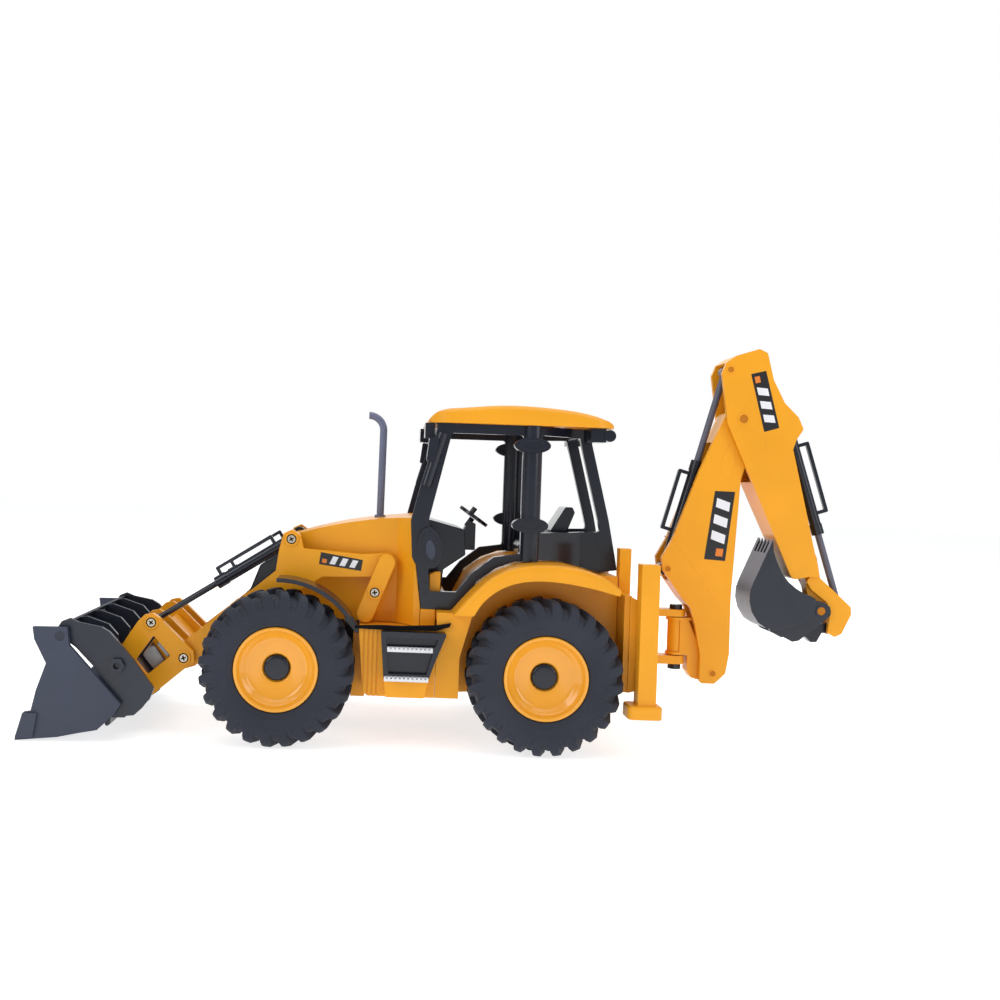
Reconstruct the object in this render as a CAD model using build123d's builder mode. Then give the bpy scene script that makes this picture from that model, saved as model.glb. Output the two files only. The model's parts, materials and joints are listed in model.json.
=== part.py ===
from build123d import *

import os
from math import atan2, degrees, hypot

# Toy backhoe loader, 1:16, moulded in plastic.
# Frame: +X rearwards (towards the digging arm), +Y across, +Z up, Z = 0 on the ground,
# X = 0 halfway along the machine. Points written (x, z) lie in an upright lengthwise plane.

os.makedirs("parts", exist_ok=True)

# ---------------------------------------------------------------- driving dimensions
FRONT_AXLE_X = -94.4
REAR_AXLE_X = 44.7
AXLE_Z = 40.5
TYRE_RADIUS = 40.5
TYRE_WIDTH = 31.0
WHEEL_Y = 57.5
RIM_RADIUS = 22.0
AXLE_RADIUS = 3.0
PIN_FIT = 0.06
LUG_COUNT = 24

GAP = 0.4

# loader: arms swing on the towers, the bracket on the arm ends
ARM_PIVOT = (-38.9, 95.2)
KNEE_PIN = (-91.0, 106.0)
BRACKET_PIVOT = (-146.6, 40.2)
BRACKET_TOP = (-164.7, 58.7)
JAW_PIVOT = (-205.5, 54.0)
ARM_IN, ARM_OUT = 32.5, 36.7
TOWER_IN, TOWER_OUT = 37.2, 41.0
TILT_Y = 28.0
BUCKET_HALF = 70.5

# backhoe: kingpost, boom, dipper and bucket
KINGPOST_X = 128.5
BOOM_FOOT = (148.0, 36.3)
DIPPER_PIVOT = (160.5, 180.0)
DIPPER_RAM_BASE = (121.0, 95.0)
DIPPER_RAM_EYE = (151.9, 208.4)
BUCKET_RAM_BASE = (189.3, 178.3)
BUCKET_RAM_EYE = (221.5, 77.0)
TIP_PIVOT = (204.8, 89.6)
LINK_PIN = (217.3, 63.6)
BUCKET_PIVOT = (208.6, 73.8)
BUCKET_LINK_PIN = (193.6, 60.2)
BOOM_IN, BOOM_OUT = 5.2, 8.4
DIPPER_IN, DIPPER_OUT = 8.8, 11.5
TIP_HALF = 3.9
TIP_LINK_IN, TIP_LINK_OUT = 4.3, 7.1
EAR_IN, EAR_OUT = 7.5, 10.2
DIG_BUCKET_HALF = 13.0
RAM_RADIUS = 3.1
RAM_ROD_RADIUS = 1.9

CAB_IN, CAB_OUT = 43.0, 47.0
CAB_REAR_IN, CAB_REAR_OUT = 19.5, 23.5

pieces = {}


# ---------------------------------------------------------------- shape helpers
def side_face(points, y, radius=0.0):
    """Face in the upright plane at y from its (x, z) corners, all rounded alike."""
    with BuildSketch(Plane.XZ.offset(-y)) as sketch:
        with BuildLine():
            Polyline(*points, close=True)
        make_face()
        if radius:
            fillet(sketch.vertices(), radius)
    return sketch.sketch


def plate(points, y_low, y_high, radius=0.0, mode=Mode.ADD):
    """Upright plate of the given outline from y_low to y_high."""
    extrude(side_face(points, y_high, radius), amount=y_high - y_low, mode=mode)


def cross_pin(centre, y_low, y_high, radius, mode=Mode.ADD):
    """Round bar along Y."""
    with BuildSketch(Plane.XZ.offset(-y_high)) as disc:
        with Locations(centre):
            Circle(radius)
    extrude(disc.sketch, amount=y_high - y_low, mode=mode)


def link(start, end, half_width, y_low, y_high, mode=Mode.ADD):
    """Flat bar with round ends about two (x, z) points."""
    run = (end[0] - start[0], end[1] - start[1])
    with BuildSketch(Plane.XZ.offset(-y_high)) as bar:
        with Locations(((start[0] + end[0]) / 2, (start[1] + end[1]) / 2)):
            SlotCenterToCenter(hypot(*run), 2 * half_width, rotation=degrees(atan2(run[1], run[0])))
    extrude(bar.sketch, amount=y_high - y_low, mode=mode)


def rod(start, end, y, radius, mode=Mode.ADD):
    """Round bar in the upright plane at y between two (x, z) points."""
    run = Vector(end[0] - start[0], 0, end[1] - start[1])
    with BuildSketch(Plane(origin=(start[0], y, start[1]), z_dir=run)) as disc:
        Circle(radius)
    extrude(disc.sketch, amount=run.length, mode=mode)


def along(start, end, distance, offset=0.0):
    """Point at a distance from start towards end, offset to the left of that direction."""
    length = hypot(end[0] - start[0], end[1] - start[1])
    ux, uz = (end[0] - start[0]) / length, (end[1] - start[1]) / length
    return (start[0] + ux * distance - uz * offset, start[1] + uz * distance + ux * offset)


def block(x_low, x_high, y_low, y_high, z_low, z_high, mode=Mode.ADD):
    """Box between two corners."""
    with BuildSketch(Plane.XY.offset(z_low)) as base:
        with Locations(((x_low + x_high) / 2, (y_low + y_high) / 2)):
            Rectangle(x_high - x_low, y_high - y_low)
    extrude(base.sketch, amount=z_high - z_low, mode=mode)


# ---------------------------------------------------------------- wheels
def wheel_profile(points):
    """Turn (radius, y) corners about the wheel's own axis, which lies on Y through the origin."""
    with BuildSketch(Plane.XY) as half:
        with BuildLine():
            Polyline(*points, close=True)
        make_face()
    revolve(half.sketch, axis=Axis.Y)


TYRE_SECTION = [
    (22.0, 12.5), (24.5, 14.5), (30.0, 15.5), (34.5, 14.6), (37.4, 12.4),
    (38.0, 0.0),
    (37.4, -12.4), (34.5, -14.6), (30.0, -15.5), (24.5, -14.5), (22.0, -12.5),
]
RIM_SECTION = [
    (22.0, -12.0), (22.0, 13.4), (20.2, 13.4), (19.0, 10.8), (16.4, 8.4), (15.6, 7.0),
    (7.1, 6.4), (7.1, 4.6), (3.0 + PIN_FIT, 4.6), (3.0 + PIN_FIT, -12.0), (6.5, -12.0),
    (6.5, 2.0), (15.0, 4.4), (18.4, 7.4), (19.8, 9.4), (19.8, -12.0),
]


def tread_bars(side):
    """Tread bars over one half of the tread, set half a pitch apart on the two halves."""
    with BuildSketch(Plane.XZ) as single_bar:
        with BuildLine():
            Polyline((33.0, -1.9), (42.0, -3.2), (42.0, 1.2), (33.0, 2.9), close=True)
        make_face()
    with BuildSketch(Plane.XZ) as bars:
        with PolarLocations(0, LUG_COUNT, start_angle=4.0 + 7.5 * (side > 0)):
            add(single_bar.sketch_local)
    return bars.sketch


with BuildPart() as tread_envelope:
    wheel_profile([(34.0, 15.3), (38.4, 15.0), (TYRE_RADIUS, 13.2), (TYRE_RADIUS, -13.2), (38.4, -15.0),
                   (34.0, -15.3)])

with BuildPart() as tread:
    extrude(tread_bars(-1), amount=15.0)
    extrude(tread_bars(1), amount=-15.0)
    add(tread_envelope.part, mode=Mode.INTERSECT)

with BuildPart() as tyre:
    wheel_profile(TYRE_SECTION)
    add(tread.part)

with BuildPart() as rim:
    wheel_profile(RIM_SECTION)
    fillet(rim.faces().sort_by(Axis.Y)[-1].edges(), 0.6)

with BuildPart() as hub_cap:
    wheel_profile([(0.0, 4.6), (6.9, 4.6), (6.9, 6.4), (6.3, 7.0), (0.0, 7.0)])

WHEELS = {
    "front_left": (FRONT_AXLE_X, -1),
    "front_right": (FRONT_AXLE_X, 1),
    "rear_left": (REAR_AXLE_X, -1),
    "rear_right": (REAR_AXLE_X, 1),
}
for wheel_name, (wheel_x, side) in WHEELS.items():
    seat = Location((wheel_x, side * WHEEL_Y, AXLE_Z), (0, 0, 0 if side > 0 else 180))
    for piece_name, source in (("tyre", tyre), ("rim", rim), ("hub_cap", hub_cap)):
        with BuildPart() as placed:
            add(source.part.moved(seat))
        pieces[f"{wheel_name}_{piece_name}"] = placed

# ---------------------------------------------------------------- chassis
CHASSIS_SIDE = [
    (-108.0, 54.0), (-110.0, 44.0), (-104.0, 33.0), (-84.0, 31.0), (86.0, 31.0), (86.0, 60.0),
    (-30.0, 60.0), (-62.0, 58.0), (-88.0, 54.2),
]
with BuildPart() as chassis_frame:
    plate(CHASSIS_SIDE, -17.0, 17.0, 2.0)
    plate([(-104, 50), (-104, 36), (80, 36), (80, 56), (-58, 54), (-86, 50.4)], -13.0, 13.0, mode=Mode.SUBTRACT)
    block(-100, 78, -13, 13, 30, 37, mode=Mode.SUBTRACT)
    cross_pin((FRONT_AXLE_X, AXLE_Z), -20, 20, 4.6, mode=Mode.SUBTRACT)
    cross_pin((REAR_AXLE_X, AXLE_Z), -20, 20, 5.6, mode=Mode.SUBTRACT)
pieces["chassis_frame"] = chassis_frame

for axle_name, axle_x, beam_radius in (("front_axle", FRONT_AXLE_X, 4.6), ("rear_axle", REAR_AXLE_X, 5.6)):
    with BuildPart() as axle:
        cross_pin((axle_x, AXLE_Z), -61.6, 61.6, AXLE_RADIUS)
        cross_pin((axle_x, AXLE_Z), -44.9, 44.9, beam_radius)
        chamfer(axle.faces().sort_by(Axis.Y)[0].edges(), 0.5)
        chamfer(axle.faces().sort_by(Axis.Y)[-1].edges(), 0.5)
    pieces[axle_name] = axle

# lower body between the wheels: ribbed front corners and the panels that carry the steps
PANEL_TOP = 62.0
PANEL_BOTTOM = 27.0
with BuildPart() as lower_body:
    plate([(-52.5, 62), (-49.5, 29), (-47.0, 27), (-12.0, 27), (-12.0, 62)], -60, 60)
    plate([(-55.6, 58), (-56.2, 23), (-49.0, 23), (-47.0, 29), (-47.0, 58)], -41.2, 41.2)
    plate([(-49.8, 60), (-47, 31), (-45.5, 26), (-14.5, 26), (-14.5, 60)], 17.2, 57.4, mode=Mode.SUBTRACT)
    plate([(-49.8, 60), (-47, 31), (-45.5, 26), (-14.5, 26), (-14.5, 60)], -57.4, -17.2, mode=Mode.SUBTRACT)
    block(-60, 0, -17, 17, 20, 60.2, mode=Mode.SUBTRACT)
    for side in (-1, 1):
        plate([(-38.6, 36.5), (-15.6, 36.5), (-17.6, 27.6), (-37.6, 27.6)],
              min(side * 59, side * 65.5), max(side * 59, side * 65.5), 0.8)
        with BuildSketch(Plane.XY.offset(PANEL_BOTTOM)) as grooves:
            with Locations(*[(x, side * 60.2) for x in (-49.6, -47.2, -44.8, -42.4)]):
                Rectangle(0.9, 1.8)
        extrude(grooves.sketch, amount=40, mode=Mode.SUBTRACT)
pieces["lower_body"] = lower_body

# step boxes with their serrated treads
for side_name, side in (("left", -1), ("right", 1)):
    y_near, y_far = sorted((side * 60.0, side * 66.5))
    with BuildPart() as step_box:
        plate([(-41.0, 61.6), (-6.6, 61.6), (-13.0, 45.0), (-15.6, 37.2), (-38.8, 37.2)], y_near, y_far, 1.0)
        pocket_low, pocket_high = sorted((side * 63.0, side * 68.0))
        plate([(-37.5, 51.5), (-13.6, 51.5), (-16.8, 40.0), (-36.5, 40.0)], pocket_low, pocket_high, 0.8,
              mode=Mode.SUBTRACT)
        plate([(-38.0, 58.5), (-11.0, 58.5), (-12.6, 54.2), (-37.8, 54.2)], pocket_low, pocket_high, 0.8,
              mode=Mode.SUBTRACT)
    pieces[f"{side_name}_step_box"] = step_box

with BuildPart() as step_treads:
    for side in (-1, 1):
        for x_low, x_high, z_top in ((-37.4, -14.0, 54.0), (-38.6, -15.8, 38.8)):
            y_low, y_high = sorted((side * 66.5, side * 70.0))
            block(x_low, x_high, y_low, y_high, z_top - 2.2, z_top)
            with BuildSketch(Plane.XY.offset(z_top - 0.9)) as teeth:
                with Locations(((x_low + x_high) / 2, side * 69.0)):
                    with GridLocations(2.2, 1.0, 10, 1):
                        Rectangle(1.1, 2.4)
            extrude(teeth.sketch, amount=1.0, mode=Mode.SUBTRACT)
pieces["step_treads"] = step_treads

# ---------------------------------------------------------------- rear body with its wheel arches
FENDER_TOP_START = (-4.0, 71.5)
FENDER_TOP = [(9.1, 86.2), (19.1, 93.7), (29.2, 97.4), (42.0, 99.0), (56.0, 98.2), (70.4, 94.6)]
FENDER_TOP_END = (82.5, 87.0)
ARCH_START = (6.9, 72.0)
ARCH_INSIDE = [(14.3, 81.8), (24.4, 87.8), (34.6, 90.2), (50.0, 90.2), (70.7, 86.8)]
ARCH_END = (81.0, 84.2)


# the fender crown is lowered under the cab along this line
CAB_SEAT = [(-30.0, 71.8), (1.4, 71.8), (9.2, 86.9), (19.2, 94.5), (29.0, 98.3), (42.6, 99.6), (55.0, 98.6),
            (79.2, 92.3), (90.0, 92.3), (90.0, 120.0), (-30.0, 120.0)]


def fender_top_face(y, low_points):
    """Face under the fender's crown line, closed by low_points from rear to front."""
    with BuildSketch(Plane.XZ.offset(-y)) as sketch:
        with BuildLine():
            Spline(FENDER_TOP_START, *FENDER_TOP, FENDER_TOP_END)
            Polyline(FENDER_TOP_END, *low_points, FENDER_TOP_START)
        make_face()
    return sketch.sketch


def arch_face(y):
    """Wheel-arch opening: under the fender's inner line and around the wheel."""
    with BuildSketch(Plane.XZ.offset(-y)) as sketch:
        with BuildLine():
            Spline(ARCH_START, *ARCH_INSIDE, ARCH_END)
            Polyline(ARCH_END, (95.0, 84.0), (95.0, 20.0), (0.5, 20.0), (0.5, 48.0), ARCH_START)
        make_face()
    return sketch.sketch


with BuildPart() as fenders:
    extrude(fender_top_face(70.0, [ARCH_END, (76.0, 78.0), (8.0, 71.5)]), amount=140.0)
    outer_edges = fenders.edges().filter_by(GeomType.BSPLINE).sort_by(Axis.Z)[-4:]
    fillet(outer_edges.group_by(Axis.Y)[0] + outer_edges.group_by(Axis.Y)[-1], 3.0)

with BuildPart() as rear_body:
    add(fenders.part)
    plate([(-11.8, 71.6), (-11.8, 27.0), (4.0, 27.0), (10.0, 71.6)], -60.0, 60.0)
    plate([(-3.0, 71.6), (4.0, 27.0), (86.0, 31.0), (86.0, 84.0), (60.0, 90.0), (20.0, 90.0)], -40.0, 40.0)
    block(70.0, 86.0, -40.0, 40.0, 60.0, 92.0)
    for side in (-1, 1):
        extrude(arch_face(max(side * 40.6, side * 76.0)), amount=35.4, mode=Mode.SUBTRACT)
    plate([(6.0, 20.0), (8.0, 66.0), (16.0, 82.0), (28.0, 88.0), (66.0, 88.0), (82.0, 82.0), (82.0, 20.0)],
          -37.0, 37.0, mode=Mode.SUBTRACT)
    plate([(-20.0, 60.0), (-20.0, 20.0), (-9.0, 20.0), (-9.0, 69.0)], -57.0, 57.0, mode=Mode.SUBTRACT)
    block(-20.0, 8.0, -37.0, 37.0, 20.0, 69.0, mode=Mode.SUBTRACT)
    block(-20.0, 90.0, -17.3, 17.3, 20.0, 60.4, mode=Mode.SUBTRACT)
    cross_pin((REAR_AXLE_X, AXLE_Z), -42.0, 42.0, 5.9, mode=Mode.SUBTRACT)
    plate(CAB_SEAT, -CAB_OUT - 0.3, CAB_OUT + 0.3, mode=Mode.SUBTRACT)
pieces["rear_body"] = rear_body

# ---------------------------------------------------------------- hood, cowl and nose
HOOD_PLAN = [(-92.0, 21.0), (-60.0, 27.0), (-33.2, 31.4), (-24.0, 44.5), (-20.5, 45.8)]


def hood_core(shrink):
    """Hood volume: plan outline under a gently rising top, drawn in by shrink."""
    with BuildPart() as core:
        with BuildSketch(Plane.XY.offset(62.3)) as plan:
            with BuildLine():
                half = [(x + shrink * (x < -80), y - shrink) for x, y in HOOD_PLAN]
                Polyline(*half, *[(x, -y) for x, y in reversed(half)], close=True)
            make_face()
        extrude(plan.sketch, amount=70.0)
        with BuildSketch(Plane.XZ.offset(-60.0)) as side:
            with BuildLine():
                top = ThreePointArc((-92.0, 107.4 - shrink), (-58.0, 116.2 - shrink), (-20.5, 120.2 - shrink))
                Polyline(top @ 1, (-20.5, 60.0), (-92.0, 60.0), top @ 0)
            make_face()
        extrude(side.sketch, amount=120.0, mode=Mode.INTERSECT)
    return core


with BuildPart() as hood:
    add(hood_core(0.0).part)
    fillet(hood.edges().group_by(Axis.Z)[-1].filter_by(GeomType.CIRCLE, reverse=True), 0.5)
    add(hood_core(2.4).part, mode=Mode.SUBTRACT)
    with BuildSketch(Plane.XY.offset(110.0)):
        with Locations((-43.4, 0)):
            Circle(3.3)
    extrude(amount=15.0, mode=Mode.SUBTRACT)
HOOD_NOTCH = [(-20.3, 71.6), (-23.6, 95.2), (-26.1, 99.0), (-27.3, 118.6), (-26.2, 124.0), (-13.8, 124.0),
              (-14.2, 99.0), (-16.3, 92.6), (-15.4, 81.3), (-15.4, 71.6)]
with BuildPart() as notched_hood:
    add(hood.part)
    for side in (-1, 1):
        y_low, y_high = sorted((side * (CAB_IN - 0.3), side * 52.0))
        plate(HOOD_NOTCH, y_low, y_high, mode=Mode.SUBTRACT)
pieces["hood"] = notched_hood

NOSE_SIDE = [(-92.4, 55.0), (-92.4, 106.4), (-95.6, 104.6), (-100.1, 96.4), (-109.4, 90.0), (-115.0, 75.0),
             (-113.0, 57.0), (-109.0, 55.0)]
with BuildPart() as grille:
    plate(NOSE_SIDE, -19.5, 19.5, 1.2)
    chamfer(grille.faces().sort_by(Axis.Y)[0].edges() + grille.faces().sort_by(Axis.Y)[-1].edges(), 0.7)
    for step in range(6):
        z_slat = 60.0 + 4.6 * step
        block(-116.5, -108.8, -15.0, 15.0, z_slat, z_slat + 2.2, mode=Mode.SUBTRACT)
pieces["grille"] = grille

with BuildPart() as exhaust_stack:
    with BuildLine() as stack_line:
        rise = Line((-43.4, 0, 114.5), (-43.0, 0, 168.0))
        bend = TangentArc((-43.0, 0, 168.0), (-51.6, 0, 176.6), tangent=(0.0, 0, 1.0))
    with BuildSketch(Plane(origin=(-43.4, 0, 114.5), z_dir=(0.4, 0, 53.5))):
        Circle(2.1)
    sweep(path=stack_line.wire())
    with BuildSketch(Plane.XY.offset(114.6)):
        with Locations((-43.4, 0)):
            Circle(3.2)
    extrude(amount=5.0)
pieces["exhaust_stack"] = exhaust_stack

# ---------------------------------------------------------------- loader towers and front mudguards
TOWER_FOOT = (-49.7, 67.2)
for side_name, side in (("left", -1), ("right", 1)):
    with BuildPart() as tower:
        y_low, y_high = sorted((side * TOWER_IN, side * TOWER_OUT))
        link(ARM_PIVOT, TOWER_FOOT, 4.6, y_low, y_high)
        fillet(tower.faces().filter_by(Axis.Y).edges(), 0.5)
        y_low, y_high = sorted((side * 29.7, side * TOWER_IN))
        cross_pin(TOWER_FOOT, y_low, y_high, 3.8)
        y_low, y_high = sorted((side * 31.2, side * TOWER_IN))
        cross_pin(ARM_PIVOT, y_low, y_high, 2.5)
    pieces[f"{side_name}_tower"] = tower

for side_name, side in (("left", -1), ("right", 1)):
    with BuildPart() as mudguard:
        y_low, y_high = sorted((side * 43.6, side * 64.5))
        with BuildSketch(Plane.XZ.offset(-y_high)) as guard:
            with BuildLine():
                outer = CenterArc((FRONT_AXLE_X, AXLE_Z), 46.6, 36.0, 56.0)
                inner = CenterArc((FRONT_AXLE_X, AXLE_Z), 44.4, 36.0, 56.0)
                Line(outer @ 0, inner @ 0)
                Line(outer @ 1, inner @ 1)
            make_face()
        extrude(guard.sketch, amount=y_high - y_low)
        y_low, y_high = sorted((side * 44.0, side * 51.0))
        plate([(-61.0, 70.0), (-60.0, 64.6), (-54.5, 58.5), (-52.4, 58.5), (-52.7, 61.6), (-57.5, 68.5)],
              y_low, y_high)
    pieces[f"{side_name}_mudguard"] = mudguard

# ---------------------------------------------------------------- cab
SIDE_OUTLINE = [
    (-19.9, 72.0), (-23.2, 95.3), (-25.7, 99.1), (-26.9, 118.7), (-22.6, 136.6), (-17.2, 151.5), (-14.7, 164.4),
    (-14.2, 171.4), (70.8, 171.4), (72.0, 166.7), (83.3, 121.9), (87.2, 102.6), (88.8, 94.2), (79.1, 92.6),
    (55.0, 98.9), (42.6, 99.9), (29.0, 98.6), (19.1, 94.8), (9.0, 87.2), (1.2, 72.0),
]
DOOR_OPENING = [
    (-15.8, 81.3), (-16.7, 92.6), (-14.6, 99.0), (-17.1, 120.1), (-6.5, 166.2),
    (31.9, 166.2), (31.9, 102.8), (17.9, 100.7), (6.5, 91.6), (-1.5, 81.3),
]
QUARTER_OPENING = [(42.2, 166.6), (65.8, 166.6), (77.2, 121.9), (78.8, 115.0), (60.0, 114.4), (42.2, 114.3)]
# plan band of one side frame: straight along the doors, turning in behind the middle post
SIDE_PLAN = [(-32.0, CAB_IN), (-32.0, CAB_OUT), (40.0, CAB_OUT), (68.0, CAB_REAR_OUT), (94.0, CAB_REAR_OUT),
             (94.0, CAB_REAR_IN), (66.4, CAB_REAR_IN), (38.4, CAB_IN)]

with BuildPart() as left_side_frame:
    plate(SIDE_OUTLINE, -60.0, -20.0)
    plate(DOOR_OPENING, -61.0, -19.0, 1.5, mode=Mode.SUBTRACT)
    plate(QUARTER_OPENING, -61.0, -19.0, 1.5, mode=Mode.SUBTRACT)
    with BuildSketch(Plane.XY.offset(60.0)) as band:
        with BuildLine():
            Polyline(*[(x, -y) for x, y in SIDE_PLAN], close=True)
        make_face()
    extrude(band.sketch, amount=130.0, mode=Mode.INTERSECT)

with BuildPart() as cab_frame:
    add(left_side_frame.part)
    add(left_side_frame.part.mirror(Plane.XZ))
    for side in (-1, 1):
        with BuildSketch(Plane.XY.offset(99.0)) as post:
            with Locations((36.9, side * (CAB_OUT - 1.6))):
                Circle(5.0)
        extrude(post.sketch, amount=72.4)
        for lump_z in (160.8, 118.4):
            with BuildSketch(Plane.XZ.offset(-max(side * (CAB_OUT - 1.0), side * (CAB_OUT + 4.6)))) as lump:
                with Locations((36.2, lump_z)):
                    Ellipse(9.6, 4.2)
            extrude(lump.sketch, amount=5.6)
        rod((-19.4, 137.6), (-11.4, 166.0), side * (CAB_OUT - 0.4), 3.0)
        with BuildSketch(Plane.XZ.offset(-max(side * CAB_OUT, side * (CAB_OUT + 2.4)))) as boss:
            with Locations((-16.4, 104.6)):
                Ellipse(6.4, 11.0, rotation=8)
        extrude(boss.sketch, amount=2.4)
        y_low, y_high = sorted((side * (CAB_OUT - 0.2), side * (CAB_OUT + 6.0)))
        plate([(-18.6, 163.4), (-20.0, 151.0), (-15.4, 150.2), (-13.4, 163.0)], y_low, y_high, 1.0)
    plate([(-14.2, 171.4), (-14.6, 166.2), (-8.0, 166.2), (-7.0, 171.4)], -CAB_IN - 1, CAB_IN + 1)
    plate([(65.0, 171.4), (66.0, 166.6), (71.8, 166.6), (70.6, 171.4)], -CAB_REAR_IN - 2, CAB_REAR_IN + 2)
    plate([(78.8, 111.0), (81.4, 96.5), (87.6, 96.5), (85.2, 111.0)], -CAB_REAR_IN - 2, CAB_REAR_IN + 2)
pieces["cab_frame"] = cab_frame

with BuildPart() as cab_floor:
    plate([(-20.2, 71.8), (-20.2, 76.6), (-4.4, 76.6), (-4.4, 71.8)], -CAB_IN + 0.3, CAB_IN - 0.3)
    plate([(-20.2, 62.4), (-20.2, 71.8), (-12.2, 71.8), (-12.2, 62.4)], -CAB_OUT, CAB_OUT)
    for side in (-1, 1):
        y_low, y_high = sorted((side * 38.0, side * (CAB_IN - 0.3)))
        plate([(-15.4, 76.0), (-15.9, 90.0), (-12.6, 91.5), (-9.8, 91.5), (-9.8, 76.0)], y_low, y_high, 0.6)
pieces["cab_floor"] = cab_floor

ROOF_FRONT, ROOF_REAR = -22.0, 78.5
ROOF_HALF = 50.5
with BuildPart() as roof:
    with BuildSketch(Plane.XZ.offset(-ROOF_HALF)) as roof_side:
        with BuildLine():
            crown = Spline((-18.9, 173.2), (-13.6, 177.8), (-2.9, 179.8), (18.0, 181.7), (46.0, 181.2),
                           (66.8, 178.5), (77.0, 175.2), (81.5, 172.6))
            Polyline(crown @ 1, (81.3, 171.5), (-18.9, 171.5), crown @ 0)
        make_face()
    extrude(roof_side.sketch, amount=2 * ROOF_HALF)
    fillet(roof.edges().filter_by(GeomType.BSPLINE), 4.4)
    with BuildSketch(Plane.XY.offset(165.0)) as roof_plan:
        with Locations((31.3, 0)):
            RectangleRounded(100.2, 2 * ROOF_HALF, 13.0)
    extrude(roof_plan.sketch, amount=30.0, mode=Mode.INTERSECT)
    block(-12.0, 66.0, -47.6, 47.6, 170.0, 173.6, mode=Mode.SUBTRACT)
    plate([(-8.0, 173.0), (-5.0, 176.0), (4.0, 177.6), (18.0, 179.0), (46.0, 178.6), (60.0, 176.4), (66.0, 173.0)],
          -44.0, 44.0, mode=Mode.SUBTRACT)
pieces["roof"] = roof

with BuildPart() as console:
    plate([(-20.3, 76.8), (-20.3, 119.0), (-14.8, 118.6), (3.4, 114.0), (4.4, 100.0), (-7.5, 91.5), (-9.0, 76.8)],
          -27.0, 27.0, 1.2)
pieces["console"] = console

WHEEL_HUB = (10.9, 121.4)
COLUMN_FOOT = (1.9, 108.2)
with BuildPart() as steering_column:
    plate([(4.6, 101.5), (4.6, 113.0), (7.4, 118.4), (11.4, 116.6), (11.4, 101.5)], -4.5, 4.5, 0.8)
    rod(along(WHEEL_HUB, COLUMN_FOOT, 8.0), along(WHEEL_HUB, COLUMN_FOOT, 2.2), 0.0, 1.6)
pieces["steering_column"] = steering_column

with BuildPart() as steering_wheel:
    wheel_plane = Plane(origin=(WHEEL_HUB[0], 0, WHEEL_HUB[1]), x_dir=(0, 1, 0),
                        z_dir=(WHEEL_HUB[0] - COLUMN_FOOT[0], 0, WHEEL_HUB[1] - COLUMN_FOOT[1]))
    with BuildSketch(wheel_plane) as spokes:
        Circle(9.4)
        Circle(7.5, mode=Mode.SUBTRACT)
        Circle(2.2)
        with PolarLocations(0, 3, start_angle=90):
            with Locations((4.6, 0)):
                Rectangle(7.8, 1.5)
    extrude(spokes.sketch, amount=-1.9)
    # spinner knob standing on the rim
    with BuildSketch(wheel_plane) as knob:
        with Locations((-7.9, 2.8)):
            Circle(1.5)
    extrude(knob.sketch, amount=3.4)
pieces["steering_wheel"] = steering_wheel

with BuildPart() as driver_seat:
    plate([(36.0, 99.2), (35.0, 105.5), (37.0, 108.0), (50.2, 106.6), (53.2, 114.8), (61.2, 128.0),
           (65.2, 128.0), (66.6, 125.0), (60.6, 109.3), (57.0, 99.2)], -12.0, 12.0, 1.2)
pieces["driver_seat"] = driver_seat

with BuildPart() as work_lights:
    for side in (-1, 1):
        y_low, y_high = sorted((side * 30.0, side * 44.0))
        block(-20.8, -15.6, y_low, y_high, 163.4, 171.3)
        block(68.2, 76.4, y_low, y_high, 164.0, 171.3)
        y_low, y_high = sorted((side * 33.0, side * 44.4))
        cross_pin((78.4, 167.6), y_low, y_high, 3.2)
pieces["work_lights"] = work_lights

# ---------------------------------------------------------------- rear frame and stabilisers
LEG_FRONT, LEG_REAR = 92.0, 101.6
TONGUE_X = 96.8
LEG_IN, LEG_OUT = 60.0, 70.0
TONGUE = 2.2
with BuildPart() as rear_frame:
    block(86.2, 90.0, -58.0, 58.0, 33.0, 83.5)
    for side in (-1, 1):
        y_low, y_high = sorted((side * 28.0, side * 36.0))
        block(87.6, 93.8, y_low, y_high, 31.0, 107.0)
        y_low, y_high = sorted((side * 36.0, side * (LEG_IN - GAP)))
        plate([(89.0, 83.5), (103.5, 76.0), (103.5, 44.0), (96.0, 35.0), (89.0, 33.0)], y_low, y_high)
        y_low, y_high = sorted((side * (LEG_IN - GAP - 0.5), side * (LEG_IN + 3.2)))
        block(TONGUE_X - TONGUE, TONGUE_X + TONGUE, y_low, y_high, 46.0, 74.0)
    plate([(88.5, 72.6), (96.5, 72.6), (96.5, 39.5), (88.5, 39.5)], -18.0, 18.0)
    fillet(rear_frame.edges().filter_by(Axis.Z).group_by(Axis.X)[-1], 0.6)
pieces["rear_frame"] = rear_frame

with BuildPart() as kingpost_arms:
    for z_low, z_high in ((67.6, 71.6), (40.5, 45.3)):
        with BuildSketch(Plane.XY.offset(z_low)) as arm_plan:
            with BuildLine():
                Polyline((96.5, -14.0), (106.0, -12.0), (116.0, -5.4), (KINGPOST_X, -5.4), (KINGPOST_X, 5.4),
                         (116.0, 5.4), (106.0, 12.0), (96.5, 14.0), close=True)
            make_face()
            with Locations((KINGPOST_X, 0)):
                Circle(5.4)
                Circle(2.5, mode=Mode.SUBTRACT)
        extrude(arm_plan.sketch, amount=z_high - z_low)
    block(96.5, 100.0, -14.0, 14.0, 40.5, 71.6)
pieces["kingpost_arms"] = kingpost_arms

with BuildPart() as swing_pin:
    with BuildSketch(Plane.XY.offset(37.2)):
        with Locations((KINGPOST_X, 0)):
            Circle(2.5)
    extrude(amount=35.2)
    with BuildSketch(Plane.XY.offset(71.6), Plane.XY.offset(37.4)):
        with Locations((KINGPOST_X, 0)):
            Circle(3.6)
    extrude(amount=2.6)
pieces["swing_pin"] = swing_pin

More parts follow.
